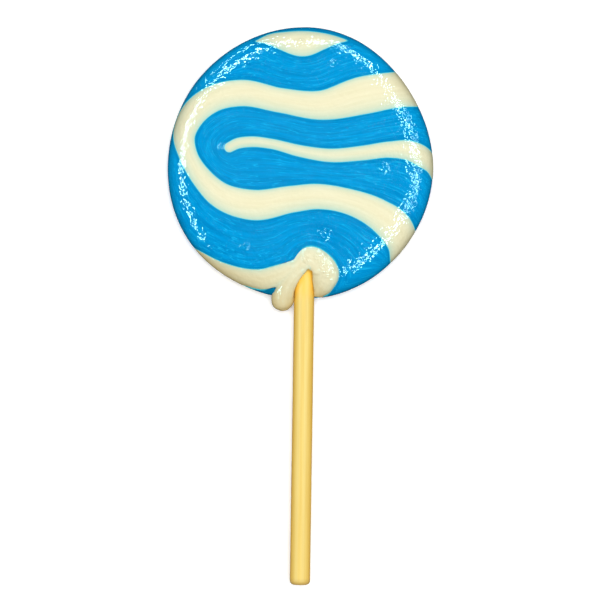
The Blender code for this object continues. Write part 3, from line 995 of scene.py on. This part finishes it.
# Painted shade colours for its sides and end, and painted shade with warm bounced light for its foot.
STRAW_SIDE_SHADE = (0.93, 0.50, 0.02, 1)
STRAW_END_SHADE = (0.62, 0.40, 0.10, 1)
STRAW_FOOT_SHADE = (1.0, 0.62, 0.09, 1)
STRAW_ROUGHNESS = 0.5
GRAIN_SCALE = (2600, 60, 2600)
GRAIN = (1.0, 3.0, 0.55, 0.5)
GRAIN_RANGE = (0.35, 0.65)
GRAIN_DEPTH = 0.00001
stick_finish, tree, shader = new_material("straw coloured stick")
grain = mottle(tree, scaled_place(tree, GRAIN_SCALE), *GRAIN)
stick_side_shade, end_shade, foot_shade = painted(tree, "side", "end", "root")
colour = blend(tree, spread(tree, grain, *GRAIN_RANGE), STRAW_DARK, STRAW_LIGHT)
colour = blend(tree, foot_shade, colour, STRAW_FOOT_SHADE)
colour = blend(tree, stick_side_shade, colour, STRAW_SIDE_SHADE)
colour = blend(tree, end_shade, colour, STRAW_END_SHADE)
tree.links.new(colour, shader.inputs["Base Color"])
tree.links.new(bumped(tree, grain, GRAIN_DEPTH), shader.inputs["Normal"])
shader.inputs["Roughness"].default_value = STRAW_ROUGHNESS
stick_mesh.materials.append(stick_finish)
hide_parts("stick")
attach(stick, "root")

# The studio: a pale table top, a broad soft light from overhead and a ring of narrow lamps round
# the head that only show as its highlights, and the camera straight above.
FLOOR_REACH = 3000.0
FLOOR_LIT = (0.45, 0.45, 0.45, 1)
FLOOR_SEEN = (0.97, 0.97, 0.97, 1)
FLOOR_GLOW = 0.2
corners = [(FLOOR_REACH * x, FLOOR_REACH * y, 0) for x, y in ((-1, -1), (1, -1), (1, 1), (-1, 1))]
floor_mesh = mesh_of("table top", corners, [(0, 1, 2, 3)])
table_top = put_in_scene("table_top", floor_mesh)
table_finish, tree, shader = new_material("pale table top")
is_seen = tree.nodes.new("ShaderNodeLightPath").outputs["Is Camera Ray"]
tree.links.new(blend(tree, is_seen, FLOOR_LIT, FLOOR_SEEN), shader.inputs["Base Color"])
shader.inputs["Roughness"].default_value = 1.0
shader.inputs["Specular IOR Level"].default_value = 0.0
shader.inputs["Emission Color"].default_value = (1, 1, 1, 1)
shader.inputs["Emission Strength"].default_value = FLOOR_GLOW
floor_mesh.materials.append(table_finish)
table_top.visible_glossy = False

AIR_LIGHT = 0.22
OVERHEAD_LIGHT = 2.85
OVERHEAD_SPREAD = math.radians(40)
OVERHEAD_PLACE = (0.05, 0.06, 1.0)
world = bpy.data.worlds.new("studio")
bpy.context.scene.world = world
world.use_nodes = True
tree = world.node_tree
tree.nodes["Background"].inputs["Color"].default_value = (1, 1, 1, 1)
rays = tree.nodes.new("ShaderNodeLightPath").outputs
strength = spread(tree, rays["Is Camera Ray"], 0.0, 1.0, AIR_LIGHT, 1.0)
unmirrored = maths(tree, "SUBTRACT", 1.0, rays["Is Glossy Ray"])
strength = maths(tree, "MULTIPLY", strength, unmirrored)
tree.links.new(strength, tree.nodes["Background"].inputs["Strength"])


def lamp(name, kind, energy, place, aim):
    data = bpy.data.lights.new(name, kind)
    data.energy = energy
    made = put_in_scene(name, data)
    made.location = place
    made.rotation_euler = (Vector(aim) - Vector(place)).to_track_quat("-Z", "Y").to_euler()
    return made


overhead = lamp("overhead", "SUN", OVERHEAD_LIGHT, OVERHEAD_PLACE, (0, 0, 0))
overhead.data.angle = OVERHEAD_SPREAD
overhead.visible_glossy = False

# Each lamp's direction round the head and its height, in degrees, its width and its brightness.
LAMPS = (
    (120, 46, 0.20, 1.0),
    (122, 20, 0.20, 0.5),
    (87, 46, 0.09, 0.7),
    (60, 43, 0.14, 0.9),
    (14, 57, 0.28, 0.55),
    (5, 47, 0.32, 0.22),
    (-46, 60, 0.20, 0.6),
    (163, 46, 0.20, 0.6),
    (192, 45, 0.24, 0.65),
)
LAMP_REACH = 0.45
LAMP_TALL = 0.02
LAMP_GLARE = 100
LAMP_COLOUR = (0.45, 0.98, 1.0)
LAMP_AIM = (0, 0, 0.004)
for number, (side, height, wide, bright) in enumerate(LAMPS):
    side, height = math.radians(side), math.radians(height)
    spot = (
        LAMP_REACH * math.cos(height) * math.cos(side),
        LAMP_REACH * math.cos(height) * math.sin(side),
        LAMP_REACH * math.sin(height),
    )
    power = bright * LAMP_GLARE * math.pi * wide * LAMP_TALL
    made = lamp(f"strip {number}", "AREA", power, spot, LAMP_AIM)
    made.data.shape = "RECTANGLE"
    made.data.size = wide
    made.data.size_y = LAMP_TALL
    made.data.color = LAMP_COLOUR
    made.visible_diffuse = False

CAMERA_OVER = (-0.02, -29.355)
CAMERA_HEIGHT = 0.7
FRAME_WIDTH = 129.72
SENSOR_WIDTH = 36.0
camera = put_in_scene("camera", bpy.data.cameras.new("camera"))
camera.location = (CAMERA_OVER[0] * MM, CAMERA_OVER[1] * MM, CAMERA_HEIGHT + MID_HEIGHT * MM)
camera.data.sensor_width = SENSOR_WIDTH
camera.data.lens = SENSOR_WIDTH * CAMERA_HEIGHT / (FRAME_WIDTH * MM)
bpy.context.scene.camera = camera
bpy.context.scene.view_settings.view_transform = "Standard"
